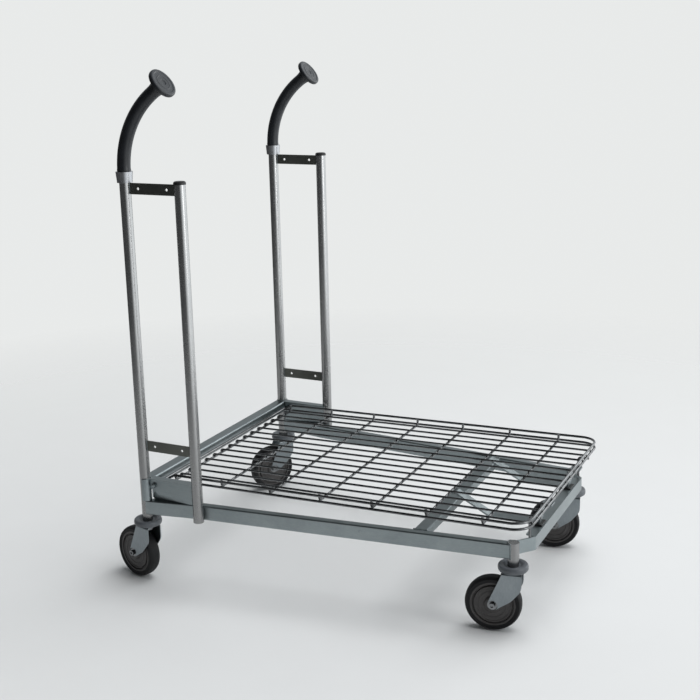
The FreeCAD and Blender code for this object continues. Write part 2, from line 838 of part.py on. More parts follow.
def build():
    nodes = {}
    both_sides(nodes, "rear_post", at_post(rear_post()))
    upright = tube(tube_dia, tube_dia - 2 * tube_wall, V(0, 0, frame_bottom), V(0, 0, upright_top))
    both_sides(nodes, "front_upright", at_post(upright, upright_x))
    both_sides(nodes, "ladder_bar_upper", at_post(ladder_bar(upper_bar_z)))
    both_sides(nodes, "ladder_bar_lower", at_post(ladder_bar(lower_bar_z)))
    cap = at_post(upright_cap(), upright_x)
    nodes["upright_caps"] = group([cap, mirror(cap)])

    both_sides(nodes, "grip", at_post(grip()))
    both_sides(nodes, "grip_disc", at_post(grip_disc()))
    screws = []
    collars = []
    for side in (-1, 1):
        ring_part = collar()
        for height in (collar_bottom + collar_screw_inset, grip_bottom - collar_screw_inset):
            screw, socket = collar_screw(height, collar_screw_turn)
            ring_part = ring_part.cut(screw)
            reach = screw.cut(socket)
            reach.translate(V(0, side * post_y, 0))
            screws.append(reach)
        ring_part.translate(V(0, side * post_y, 0))
        collars.append(ring_part)
    nodes["post_collars"] = group(collars)
    nodes["collar_screws"] = group(screws)

    both_sides(nodes, "side_plate", at_post(side_plate()))
    both_sides(nodes, "side_rail", side_rail())
    nodes["rear_cross_rail"] = rear_cross_rail()
    nodes["mid_cross_rail"] = mid_cross_rail()
    caster_tube = front_caster_tube()
    nodes["front_caster_tubes"] = group([caster_tube, mirror(caster_tube)])
    nodes["front_bar"] = front_bar()
    nodes["rest_buffers"] = group(rest_buffers())
    nodes["caster_bumpers"] = group(at_casters(bumper()))
    nodes["caster_stems"] = group(at_casters(stem()))
    nodes["stem_expanders"] = group(at_casters(expander()))

    nodes["deck_lower_rim"] = tilt_deck(lower_rim())
    nodes["deck_upper_rim"] = tilt_deck(upper_rim())
    nodes["deck_cross_wires"] = tilt_deck(group(deck_cross_wires()))
    nodes["deck_long_wires"] = tilt_deck(group(deck_long_wires()))
    skid = tilt_deck(deck_skid())
    both_sides(nodes, "deck_skid", skid)
    nodes["deck_legs"] = tilt_deck(group(deck_legs()))
    nodes["deck_hinge_rod"] = tilt_deck(hinge_rod())
    nodes["deck_hinge_caps"] = tilt_deck(group(hinge_caps()))

    for name in turns:
        nodes["fork_" + name] = place_swivel(fork(), name)
        nodes["swivel_race_" + name] = place_swivel(swivel_race(), name)
        nodes["axle_bolt_" + name] = place_wheel(group(axle_bolt()), name)
        nodes["wheel_hub_" + name] = place_wheel(hub(), name)
        nodes["tyre_" + name] = place_wheel(tyre(), name)
        nodes["wheel_bearings_" + name] = place_wheel(group(wheel_bearings()), name)
    return nodes


def move_to_origin(nodes):
    """Shift every node so that the origin is the middle of the cart on the floor."""
    whole = FreeCAD.BoundBox()
    for shape in nodes.values():
        whole.add(shape.optimalBoundingBox(False))
    for shape in nodes.values():
        shape.translate(V(-whole.Center.x, -whole.Center.y, -whole.ZMin))
    print("origin shift", -whole.Center.x, -whole.Center.y, -whole.ZMin)
    print("size", whole.XLength, whole.YLength, whole.ZLength)


cart = build()
move_to_origin(cart)
for node, shape in cart.items():
    shape.exportStep("parts/" + node + ".step")
    if not shape.isValid():
        print("not valid:", node)
print(len(cart), "nodes")
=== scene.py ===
import json
import math

import bmesh
import bpy
from mathutils import Matrix, Vector


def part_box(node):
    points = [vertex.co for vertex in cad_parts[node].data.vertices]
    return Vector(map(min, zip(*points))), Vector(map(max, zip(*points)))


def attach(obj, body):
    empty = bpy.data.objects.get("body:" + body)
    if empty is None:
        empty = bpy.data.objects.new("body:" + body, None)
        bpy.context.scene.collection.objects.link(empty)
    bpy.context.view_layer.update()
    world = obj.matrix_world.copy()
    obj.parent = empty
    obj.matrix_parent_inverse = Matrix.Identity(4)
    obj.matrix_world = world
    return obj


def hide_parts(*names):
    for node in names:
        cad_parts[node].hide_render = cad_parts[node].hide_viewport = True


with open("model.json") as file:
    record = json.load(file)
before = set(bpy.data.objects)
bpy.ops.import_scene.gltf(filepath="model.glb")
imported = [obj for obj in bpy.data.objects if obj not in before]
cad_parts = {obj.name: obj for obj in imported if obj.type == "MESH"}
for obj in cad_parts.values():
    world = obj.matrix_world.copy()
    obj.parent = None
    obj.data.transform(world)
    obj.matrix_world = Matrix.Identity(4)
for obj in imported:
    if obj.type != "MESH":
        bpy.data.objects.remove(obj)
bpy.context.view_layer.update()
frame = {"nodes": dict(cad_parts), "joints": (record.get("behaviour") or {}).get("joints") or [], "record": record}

tau = 2 * math.pi
ladderSides = {"left": 1, "right": -1}
casterNames = ("rear_right", "rear_left", "front_right", "front_left")
joints = {joint["name"]: joint for joint in frame["joints"]}


# Small tools for building node trees

class Value:
    # one output of a node, usable in sums
    def __init__(self, bench, socket):
        self.bench = bench
        self.socket = socket

    def math(self, operation, first, second):
        return self.bench.add("ShaderNodeMath", {"operation": operation}, {0: first, 1: second})

    def __add__(self, other):
        return self.math("ADD", self, other)

    def __radd__(self, other):
        return self.math("ADD", other, self)

    def __sub__(self, other):
        return self.math("SUBTRACT", self, other)

    def __rsub__(self, other):
        return self.math("SUBTRACT", other, self)

    def __mul__(self, other):
        return self.math("MULTIPLY", self, other)

    def __rmul__(self, other):
        return self.math("MULTIPLY", other, self)


class Bench:
    # adds nodes to one tree
    def __init__(self, tree):
        self.tree = tree

    def add(self, kind, settings=None, sockets=None, output=0):
        node = self.tree.nodes.new(kind)
        for name, setting in (settings or {}).items():
            setattr(node, name, setting)
        for key, value in (sockets or {}).items():
            if isinstance(value, Value):
                self.tree.links.new(value.socket, node.inputs[key])
            else:
                node.inputs[key].default_value = value
        return Value(self, node.outputs[output]) if len(node.outputs) else node


# Finishes

def newMaterial(name):
    material = bpy.data.materials.new(name)
    material.use_nodes = True
    material.node_tree.nodes.clear()
    return material, Bench(material.node_tree)


def finishMaterial(bench, fixed, varying):
    shader = bench.add("ShaderNodeBsdfPrincipled", {}, {**fixed, **varying})
    bench.add("ShaderNodeOutputMaterial", {}, {"Surface": shader})


def objectCoords(bench, stretch=(1, 1, 1)):
    coords = bench.add("ShaderNodeTexCoord", output=3)
    return bench.add("ShaderNodeMapping", {}, {"Vector": coords, "Scale": stretch})


def noise(bench, coords, scale, detail, roughness):
    sockets = {"Vector": coords, "Scale": scale, "Detail": detail, "Roughness": roughness}
    return bench.add("ShaderNodeTexNoise", {}, sockets)


def blendColours(bench, factor, first, second):
    sockets = {0: factor, 6: (*first, 1) if isinstance(first, tuple) else first,
               7: (*second, 1) if isinstance(second, tuple) else second}
    return bench.add("ShaderNodeMix", {"data_type": "RGBA"}, sockets, output=2)


def bump(bench, height, strength, distance):
    return bench.add("ShaderNodeBump", {}, {"Height": height, "Strength": strength, "Distance": distance})


def spread(bench, value, low, high, newLow=0.0, newHigh=1.0):
    sockets = {"Value": value, "From Min": low, "From Max": high, "To Min": newLow, "To Max": newHigh}
    return bench.add("ShaderNodeMapRange", {"clamp": True}, sockets)


plating = {
    "zinc_steel": {"light": (0.345, 0.385, 0.395), "dark": (0.25, 0.285, 0.295), "rough": 0.34,
                   "drawn": (3, 60, 60), "scuffs": 0.35, "relief": 0.10},
    # the last entry of zinc_tube makes its colour darker towards the floor
    "zinc_tube": {"light": (0.53, 0.53, 0.525), "dark": (0.47, 0.47, 0.47), "rough": 0.24,
                  "drawn": (30, 30, 0.6), "scuffs": 0.04, "relief": 0.003, "floorDarkening": 0.70},
    "dark_bar": {"light": (0.21, 0.215, 0.195), "dark": (0.145, 0.150, 0.135), "rough": 0.46,
                 "drawn": (3, 60, 60), "scuffs": 0.35, "relief": 0.10},
    "bright_collar": {"light": (0.60, 0.61, 0.63), "dark": (0.50, 0.51, 0.53), "rough": 0.30,
                      "drawn": (20, 20, 20), "scuffs": 0.20, "relief": 0.08},
    "fork_steel": {"light": (0.285, 0.315, 0.33), "dark": (0.21, 0.235, 0.25), "rough": 0.30,
                   "drawn": (25, 25, 8), "scuffs": 0.25, "relief": 0.06},
    "fastener": {"light": (0.30, 0.31, 0.32), "dark": (0.20, 0.205, 0.21), "rough": 0.32,
                 "drawn": (40, 40, 40), "scuffs": 0.30, "relief": 0.08},
}
# the last three entries set how the colour darkens towards the floor
plateSurface = {"cloud": 9.0, "grain": 140.0, "lines": 11.0, "scuffs": 34.0, "relief": 0.0004,
                "scuffShade": 0.55, "scuffStarts": 0.62, "scuffFull": 0.74, "darkeningTone": 0.45,
                "darkeningStarts": 0.62, "darkeningFull": 0.18}


def platedSteel(slot):
    # zinc plate: cloudy patches, fine drawing lines, grain and handling marks
    look = plating[slot]
    surface = plateSurface
    material, bench = newMaterial(slot)
    coords = objectCoords(bench)
    cloud = noise(bench, coords, surface["cloud"], 4.0, 0.6)
    grain = noise(bench, coords, surface["grain"], 2.0, 0.5)
    lines = noise(bench, objectCoords(bench, look["drawn"]), surface["lines"], 4.0, 0.7)
    marks = noise(bench, coords, surface["scuffs"], 6.0, 0.75)
    scuffs = spread(bench, marks, surface["scuffStarts"], surface["scuffFull"])
    tone = spread(bench, cloud * 0.6 + lines * 0.3 + grain * 0.1, 0.36, 0.64)
    colour = blendColours(bench, tone, look["dark"], look["light"])
    scuffed = tuple(surface["scuffShade"] * c for c in look["dark"])
    colour = blendColours(bench, scuffs * look["scuffs"], colour, scuffed)
    if "floorDarkening" in look:
        # the plating colour is darker towards the floor
        height = bench.add("ShaderNodeSeparateXYZ", {}, {0: coords}, output=2)
        lowness = spread(bench, height, surface["darkeningStarts"], surface["darkeningFull"])
        lowTone = tuple(surface["darkeningTone"] * c for c in look["dark"])
        colour = blendColours(bench, lowness * look["floorDarkening"], colour, lowTone)
    roughness = look["rough"] - 0.05 + cloud * 0.08 + grain * 0.06 + scuffs * (0.3 * look["scuffs"])
    relief = lines * 0.6 + grain * 0.4
    finishMaterial(bench, {"Metallic": 1.0, "IOR": 1.5},
                   {"Base Color": colour, "Roughness": roughness,
                    "Normal": bump(bench, relief, look["relief"], surface["relief"])})
    return material


wireLook = {"bright": (0.20, 0.205, 0.21), "dull": (0.09, 0.093, 0.093), "patches": 14.0, "grain": 260.0,
            "dullStarts": 0.45, "dullFull": 0.7, "rough": 0.14, "relief": 0.0002}


def platedWire():
    # bright wire, duller and darker in patches
    material, bench = newMaterial("chromed_wire")
    coords = objectCoords(bench)
    cloud = noise(bench, coords, wireLook["patches"], 4.0, 0.6)
    grain = noise(bench, coords, wireLook["grain"], 2.0, 0.5)
    dull = spread(bench, cloud, wireLook["dullStarts"], wireLook["dullFull"])
    colour = blendColours(bench, dull, wireLook["bright"], wireLook["dull"])
    finishMaterial(bench, {"Metallic": 1.0},
                   {"Base Color": colour, "Roughness": wireLook["rough"] + dull * 0.12 + grain * 0.05,
                    "Normal": bump(bench, grain, 0.06, wireLook["relief"])})
    return material


mouldings = {
    "grip_rubber": {"light": (0.022, 0.025, 0.030), "dark": (0.012, 0.014, 0.017), "rough": 0.30,
                    "grain": 420.0, "relief": 0.12, "dust": 0.12},
    "black_cap": {"light": (0.022, 0.022, 0.022), "dark": (0.012, 0.012, 0.012), "rough": 0.45,
                  "grain": 500.0, "relief": 0.12, "dust": 0.2},
    "bumper_rubber": {"light": (0.125, 0.137, 0.152), "dark": (0.085, 0.093, 0.103), "rough": 0.38,
                      "grain": 380.0, "relief": 0.10, "dust": 0.15},
    "hub_plastic": {"light": (0.062, 0.057, 0.056), "dark": (0.040, 0.037, 0.036), "rough": 0.46,
                    "grain": 420.0, "relief": 0.12, "dust": 0.15},
    "tyre": {"light": (0.010, 0.010, 0.011), "dark": (0.005, 0.005, 0.006), "rough": 0.60, "grain": 300.0,
             "relief": 0.2, "dust": 0.05, "shine": 0.3},
}
mouldSurface = {"cloud": 16.0, "dust": 45.0, "dustStarts": 0.55, "dustFull": 0.78, "relief": 0.0003}


def moulded(slot):
    # rubber and plastic: matt moulding grain, dust in patches
    look = mouldings[slot]
    material, bench = newMaterial(slot)
    coords = objectCoords(bench)
    surface = mouldSurface
    cloud = noise(bench, coords, surface["cloud"], 4.0, 0.6)
    grain = noise(bench, coords, look["grain"], 2.0, 0.6)
    specks = noise(bench, coords, surface["dust"], 5.0, 0.7)
    dust = spread(bench, specks, surface["dustStarts"], surface["dustFull"])
    colour = blendColours(bench, spread(bench, cloud, 0.35, 0.65), look["dark"], look["light"])
    dusty = tuple(0.8 * c + 0.05 for c in look["light"])
    colour = blendColours(bench, dust * look["dust"], colour, dusty)
    roughness = look["rough"] + cloud * 0.08 + dust * 0.12 - 0.04
    finishMaterial(bench, {"Metallic": 0.0, "Specular IOR Level": look.get("shine", 0.5)},
                   {"Base Color": colour, "Roughness": roughness,
                    "Normal": bump(bench, grain, look["relief"], surface["relief"])})
    return material


materials = {slot: platedSteel(slot) for slot in plating}
materials["chromed_wire"] = platedWire()
materials.update({slot: moulded(slot) for slot in mouldings})
slotOfNode = {part["node"]: part["material_slot"] for part in frame["record"]["subparts"]}
for nodeName, node in frame["nodes"].items():
    node.data.materials.clear()
    node.data.materials.append(materials[slotOfNode[nodeName]])
print("materials", len(materials))


# Turned and swept pieces, each built in place and left untransformed

def soften(points, steps=4):
    # profile points are (radius, height, rounding); a rounded corner becomes a short curve
    softened = []
    for k, (radius, height, rounding) in enumerate(points):
        here = Vector((radius, height))
        if rounding == 0:
            softened.append((radius, height))
            continue
        before = Vector(points[k - 1][:2]) - here
        after = Vector(points[(k + 1) % len(points)][:2]) - here
        start = here + before.normalized() * min(rounding, 0.48 * before.length)
        end = here + after.normalized() * min(rounding, 0.48 * after.length)
        for step in range(steps + 1):
            t = step / steps
            softened.append(tuple(start * (1 - t) ** 2 + here * (2 * t * (1 - t)) + end * t ** 2))
    return softened


def turnProfile(shape, profile, place, steps):
    # turn a closed (radius, height) profile round the Z axis of place
    poles = {j: shape.verts.new(place @ Vector((0, 0, height)))
             for j, (radius, height) in enumerate(profile) if radius < 1e-6}
    columns = []
    for k in range(steps):
        turn = tau * k / steps
        column = []
        for j, (radius, height) in enumerate(profile):
            point = place @ Vector((radius * math.cos(turn), radius * math.sin(turn), height))
            column.append(poles.get(j) or shape.verts.new(point))
        columns.append(column)
    for k in range(steps):
        here, there = columns[k - 1], columns[k]
        for j in range(len(profile)):
            i = (j + 1) % len(profile)
            corners = list(dict.fromkeys((here[j], there[j], there[i], here[i])))
            if len(corners) > 2:
                shape.faces.new(corners)


def facing(centre, direction):
    # a place whose Z axis points along direction
    turn = Vector(direction).to_track_quat("Z", "Y").to_matrix().to_4x4()
    return Matrix.Translation(centre) @ turn


def makePiece(name, shape, slot, body, replaced, sharpAngle=38):
    bmesh.ops.recalc_face_normals(shape, faces=shape.faces)
    mesh = bpy.data.meshes.new(name)
    shape.to_mesh(mesh)
    shape.free()
    mesh.materials.append(materials[slot])
    for face in mesh.polygons:
        face.use_smooth = True
    mesh.set_sharp_from_angle(angle=math.radians(sharpAngle))
    return placePiece(name, mesh, body, replaced)


def placePiece(name, mesh, body, replaced=()):
    piece = bpy.data.objects.new(name, mesh)
    bpy.context.scene.collection.objects.link(piece)
    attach(piece, body)
    if replaced:
        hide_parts(*replaced)
    return piece


tyreLook = {"radius": 0.0625, "inner": 0.050, "half": 0.0155, "bead": 0.0135, "rimLine": 0.0545,
            "step": 0.0006, "shoulder": 0.0075, "seam": 0.0002, "lip": 0.0022, "lipRise": 0.0010,
            "line": 0.0004, "crown": 0.0040, "draft": 0.0002, "seamFoot": 0.0004, "seamTop": 0.0001}


def tyreProfile():
    # flat tread with round shoulders, a step on the wall, and a mould line round the middle
    t = tyreLook
    half = [(t["inner"], t["bead"], 0), (t["inner"] + t["lip"], t["bead"] + t["lipRise"], 0.0006),
            (t["rimLine"], t["half"] - t["step"] * 2, 0.0004),
            (t["rimLine"] + t["line"], t["half"] - t["step"], 0.0003),
            (t["radius"] - t["crown"], t["half"], 0.0020),
            (t["radius"] - t["draft"], t["half"] - t["shoulder"], 0.0060),
            (t["radius"] - t["seam"], t["seamFoot"], 0.0002), (t["radius"], t["seamTop"], 0)]
    other = [(radius, -height, rounding) for radius, height, rounding in half[::-1]]
    return soften(half + other, 5)


hubLook = {"outer": 0.050, "half": 0.0135, "grooveOuter": 0.0460, "grooveInner": 0.0415, "depth": 0.0040,
           "ring": 0.0300, "ringWidth": 0.0016, "ringHeight": 0.0007, "dish": 0.0010, "bossFoot": 0.0195,
           "boss": 0.0165, "face": 0.0170, "seat": 0.0110, "seatDepth": 0.0070, "bore": 0.0050,
           "slope": 0.0010, "lip": 0.0025, "lipFoot": 0.0035}


def hubProfile():
    # rim, deep groove, dished web with a raised ring, and the bearing boss
    h = hubLook
    web = h["half"] - h["dish"]
    half = [(h["outer"], h["half"], 0), (h["grooveOuter"], h["half"], 0.0008),
            (h["grooveOuter"] - h["slope"], h["half"] - h["depth"], 0.0008),
            (h["grooveInner"] + h["slope"], h["half"] - h["depth"], 0.0008),
            (h["grooveInner"], h["half"], 0.0008),
            (h["grooveInner"] - h["lip"], h["half"], 0.0008),
            (h["grooveInner"] - h["lipFoot"], web, 0.0008),
            (h["ring"] + h["ringWidth"], web, 0.0004),
            (h["ring"] + h["ringWidth"] / 2, web + h["ringHeight"], 0.0004),
            (h["ring"], web + h["ringHeight"], 0.0004), (h["ring"] - h["ringWidth"], web, 0.0004),
            (h["bossFoot"], web, 0.0010), (h["boss"], h["face"], 0.0010), (h["seat"], h["face"], 0),
            (h["seat"], h["face"] - h["seatDepth"], 0), (h["bore"], h["face"] - h["seatDepth"], 0)]
    other = [(radius, -height, rounding) for radius, height, rounding in half[::-1]]
    return soften(half + other)


def makeWheels():
    for name in casterNames:
        spin = joints["wheel_spin_" + name]
        place = facing(spin["pos_m"], spin["axis"])
        rubber = bmesh.new()
        turnProfile(rubber, tyreProfile(), place, 112)
        makePiece("tyre_tread_" + name, rubber, "tyre", "wheel_" + name, ["tyre_" + name])
        centre = bmesh.new()
        turnProfile(centre, hubProfile(), place, 96)
        makePiece("hub_moulding_" + name, centre, "hub_plastic", "wheel_" + name, ["wheel_hub_" + name])


bumperLook = {"radius": 0.033, "bottom": 0.1416, "top": 0.1566, "bore": 0.0062, "wellTop": 0.0225,
              "wellLow": 0.0180, "wellDepth": 0.0045, "lip": 0.0024, "lipDrop": 0.0007, "wellDrop": 0.0003,
              "roundLow": 0.0072, "roundTop": 0.0078}


def makeBumpers():
    # full round rubber rings with a dished well and a thin moulded lip
    b = bumperLook
    floor = b["top"] - b["wellDepth"]
    profile = soften([(b["bore"], b["bottom"], 0), (b["radius"], b["bottom"], b["roundLow"]),
                      (b["radius"], b["top"], b["roundTop"]),
                      (b["wellTop"] + b["lip"], b["top"], 0.0010),
                      (b["wellTop"] + b["lip"] / 2, b["top"] - b["lipDrop"], 0.0006),
                      (b["wellTop"], b["top"] - b["wellDrop"], 0.0006), (b["wellLow"], floor, 0.0008),
                      (b["bore"], floor, 0)], 8)
    rings = bmesh.new()
    for name in casterNames:
        x, y = joints["swivel_turn_" + name]["pos_m"][:2]
        turnProfile(rings, profile, Matrix.Translation((x, y, 0)), 96)
    makePiece("bumper_rings", rings, "bumper_rubber", "frame", ["caster_bumpers"])


gripLook = {"start": 0.977, "bendStart": 0.978, "bendRadius": 0.206, "bendAngle": 54.0, "straight": 0.031,
            "low": 0.0149, "high": 0.0150, "bore": 0.0125, "bead": 0.0006, "beadLength": 0.006,
            "neck": 0.0205, "neckLength": 0.028, "seam": 0.00025, "around": 72, "along": 64}


def gripSpine():
    # centre line in the XZ plane from the post axis: point, direction, distance run and whole length
    g = gripLook
    angle = math.radians(g["bendAngle"])
    rise = g["bendStart"] - g["start"]
    arc = g["bendRadius"] * angle
    total = rise + arc + g["straight"]
    spine = []
    for k in range(g["along"] + 1):
        run = total * k / g["along"]
        turn = min(max((run - rise) / g["bendRadius"], 0), angle)
        beyond = max(run - rise - arc, 0)
        x = g["bendRadius"] * (1 - math.cos(turn)) + beyond * math.sin(turn)
        z = g["bendStart"] + g["bendRadius"] * math.sin(turn) + beyond * math.cos(turn) + min(run - rise, 0)
        spine.append((Vector((x, 0, z)), Vector((math.sin(turn), 0, math.cos(turn))), run, total))
    return spine


def gripRadius(run, total):
    g = gripLook
    radius = g["low"] + (g["high"] - g["low"]) * run / total
    if run < g["beadLength"]:
        radius += g["bead"] * math.sin(math.pi * run / g["beadLength"])
    neck = max(0.0, 1 - (total - run) / g["neckLength"])
    return radius + (g["neck"] - g["high"]) * neck ** 2


def makeGrips():
    # one rubber sleeve on each post, with mould lines along both sides
    g = gripLook
    sleeves = bmesh.new()
    spine = gripSpine()
    for side in ladderSides.values():
        loops = []
        for inside in (False, True):
            for point, along, run, total in (spine[::-1] if inside else spine):
                out = Vector((along.z, 0, -along.x))
                loop = []
                for k in range(g["around"]):
                    turn = tau * k / g["around"]
                    seam = g["seam"] if k % (g["around"] // 2) == g["around"] // 4 and not inside else 0
                    radius = g["bore"] if inside else gripRadius(run, total) + seam
                    sideways = Vector((0, radius * math.sin(turn), 0))
                    place = point + out * (radius * math.cos(turn)) + sideways
                    loop.append(sleeves.verts.new(place + Vector((postX, side * postY, 0))))
                loops.append(loop)
        for k in range(len(loops)):
            here, there = loops[k - 1], loops[k]
            for j in range(g["around"]):
                sleeves.faces.new((here[j - 1], here[j], there[j], there[j - 1]))
    makePiece("grip_sleeves", sleeves, "grip_rubber", "frame", ["grip_left", "grip_right"])


discLook = {"radius": 0.03425, "thick": 0.0105, "round": 0.0045, "rimWidth": 0.0050, "sunk": 0.0009,
            "ring": 0.0165, "ringWidth": 0.0014, "ringHeight": 0.0005, "eye": 0.0070, "eyeDepth": 0.0012,
            "slope": 0.0012}


def makeGripDiscs():
    # end stops: rounded edge, shallow sunk face, a raised ring and a small eye in the middle
    d = discLook
    inner = d["radius"] - d["rimWidth"] - d["round"] / 2
    face = d["thick"] - d["sunk"]
    profile = soften([(0, 0, 0), (d["radius"], 0, d["round"]), (d["radius"], d["thick"], d["round"]),
                      (inner, d["thick"], 0.0008), (inner - d["slope"], face, 0.0008),
                      (d["ring"] + d["ringWidth"], face, 0.0004),
                      (d["ring"] + d["ringWidth"] / 2, face + d["ringHeight"], 0.0004),
                      (d["ring"], face + d["ringHeight"], 0.0004),
                      (d["ring"] - d["ringWidth"], face, 0.0004),
                      (d["eye"], face, 0.0008), (d["eye"] - d["slope"], face - d["eyeDepth"], 0.0006),
                      (0, face - d["eyeDepth"], 0)], 5)
    discs = bmesh.new()
    tip, along = gripSpine()[-1][:2]
    for side in ladderSides.values():
        turnProfile(discs, profile, facing(tip + Vector((postX, side * postY, 0)), along), 96)
    makePiece("grip_end_discs", discs, "grip_rubber", "frame", ["grip_disc_left", "grip_disc_right"])


hingeCapLook = {"out": 0.0023, "washer": 0.0075, "washerThick": 0.0014, "groove": 0.0057,
                "grooveWidth": 0.0008, "grooveDepth": 0.0008, "dome": 0.0049, "domeHeight": 0.0068,
                "domeEdge": 0.0015, "domeTop": 0.7, "crown": 0.0003, "bore": 0.0040, "rodEnd": 0.0064}


def makeHingeCaps():
    # a washer with a turned groove and a domed push cap over each end of the hinge rod
    c = hingeCapLook
    profile = soften([(0, c["rodEnd"], 0), (c["bore"], c["rodEnd"], 0), (c["bore"], 0, 0),
                      (c["washer"], 0, 0.0003),
                      (c["washer"], c["washerThick"], 0.0005),
                      (c["groove"] + c["grooveWidth"], c["washerThick"], 0.0003),
                      (c["groove"], c["washerThick"] - c["grooveDepth"], 0),
                      (c["dome"], c["washerThick"] - c["grooveDepth"], 0),
                      (c["dome"], c["domeHeight"] - c["domeEdge"], 0.0012),
                      (c["dome"] * c["domeTop"], c["domeHeight"], 0.0012),
                      (0, c["domeHeight"] + c["crown"], 0)], 4)
    caps = bmesh.new()
    hinge = Vector(joints["deck_fold"]["pos_m"])
    for side in ladderSides.values():
        centre = hinge + Vector((0, side * (postY + c["out"]), 0))
        turnProfile(caps, profile, facing(centre, (0, side, 0)), 48)
    makePiece("hinge_end_caps", caps, "zinc_steel", "deck", ["deck_hinge_caps"])


# Welds: Geometry Nodes sets overlapping beads along seams, and nuggets where deck wires cross

def beadTree(name, slot, alongPath):
    tree = bpy.data.node_groups.new(name, "GeometryNodeTree")
    tree.is_modifier = True
    tree.interface.new_socket("Geometry", in_out="INPUT", socket_type="NodeSocketGeometry")
    for label, default in (("Spacing", 0.002), ("Bead", 0.0016), ("Unevenness", 0.2)):
        tree.interface.new_socket(label, in_out="INPUT",
                                  socket_type="NodeSocketFloat").default_value = default
    tree.interface.new_socket("Geometry", in_out="OUTPUT", socket_type="NodeSocketGeometry")
    bench = Bench(tree)
    given = {socket.name: Value(bench, socket) for socket in tree.nodes.new("NodeGroupInput").outputs}
    points = given["Geometry"]
    if alongPath:
        path = bench.add("GeometryNodeMeshToCurve", {}, {"Mesh": points})
        points = bench.add("GeometryNodeResampleCurve", {"mode": "LENGTH"},
                           {"Curve": path, "Length": given["Spacing"]})
    ball = bench.add("GeometryNodeMeshUVSphere", {}, {"Segments": 8, "Rings": 5, "Radius": 1.0})
    ball = bench.add("GeometryNodeSetShadeSmooth", {}, {"Geometry": ball})
    uneven = bench.add("FunctionNodeRandomValue", {"data_type": "FLOAT"},
                       {2: 1 - given["Unevenness"], 3: 1 + given["Unevenness"], 8: 7}, output=1)
    beads = bench.add("GeometryNodeInstanceOnPoints", {},
                      {"Points": points, "Instance": ball, "Scale": uneven * given["Bead"]})
    solid = bench.add("GeometryNodeRealizeInstances", {}, {"Geometry": beads})
    solid = bench.add("GeometryNodeSetMaterial", {}, {"Geometry": solid, "Material": materials[slot]})
    bench.add("NodeGroupOutput", {}, {"Geometry": solid})
    return tree


def beadPiece(name, runs, slot, body, sizes):
    # runs are lists of points; single points get one nugget each
    mesh = bpy.data.meshes.new(name + "_path")
    points = [point for run in runs for point in run]
    edges = []
    count = 0
    for run in runs:
        edges += [(count + k, count + k + 1) for k in range(len(run) - 1)]
        count += len(run)
    mesh.from_pydata(points, edges, [])
    guide = bpy.data.objects.new(name + "_path", mesh)
    bpy.context.scene.collection.objects.link(guide)
    modifier = guide.modifiers.new("beads", "NODES")
    modifier.node_group = beadTree(name + "_beads", slot, bool(edges))
    for socket in modifier.node_group.interface.items_tree:
        if socket.in_out == "INPUT" and socket.name in sizes:
            modifier[socket.identifier] = sizes[socket.name]
    bpy.context.view_layer.update()
    beads = bpy.data.meshes.new_from_object(guide.evaluated_get(bpy.context.evaluated_depsgraph_get()))
    guide.modifiers.clear()
    bpy.data.objects.remove(guide)
    beads.name = name
    return placePiece(name, beads, body)


def meet(start, end, centre, radius):
    # where a plan line first enters a tube's circle
    along = (end - start).normalized()
    nearest = (centre - start).dot(along)
    aside = (centre - start - along * nearest).length
    back = math.sqrt(max(radius ** 2 - aside ** 2, 0))
    return start + along * (nearest - back)


def upSeam(plan, low, high):
    return [Vector((plan.x, plan.y, low)), Vector((plan.x, plan.y, high))]


def arcSeam(plan, radius, height, first, last, side, steps=14):
    # part of a circle round a tube; angles are for the left side and mirror to the right
    angles = [math.radians(first + (last - first) * k / steps) for k in range(steps + 1)]
    return [Vector((plan.x + radius * math.cos(a), plan.y + side * radius * math.sin(a), height))
            for a in angles]


frameLines = {"railWidth": 0.020, "railShift": 0.002, "plateStep": 0.002, "plateLow": 0.217,
              "barCorner": 0.190, "barReturn": 39.0, "beadIn": 0.0004, "endGap": 0.001,
              "uprightArc": (185, 285), "casterArc": (110, 225), "postArc": (205, 335)}
frameBeads = {"Spacing": 0.0021, "Bead": 0.0017, "Unevenness": 0.18}
lightBeads = {"Spacing": 0.0018, "Bead": 0.0012, "Unevenness": 0.22}


def ladderSeams(name):
    gap = frameLines["endGap"]
    seams = []
    for level in ("upper", "lower"):
        low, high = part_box("ladder_bar_" + level + "_" + name)
        half = (high[1] - low[1]) / 2
        reach = math.sqrt(tubeRadius ** 2 - half ** 2) + frameLines["beadIn"]
        for x in (postX + reach, uprightX - reach):
            for y in (low[1], high[1]):
                seams.append(upSeam(Vector((x, y)), low[2] + gap, high[2] - gap))
    return seams


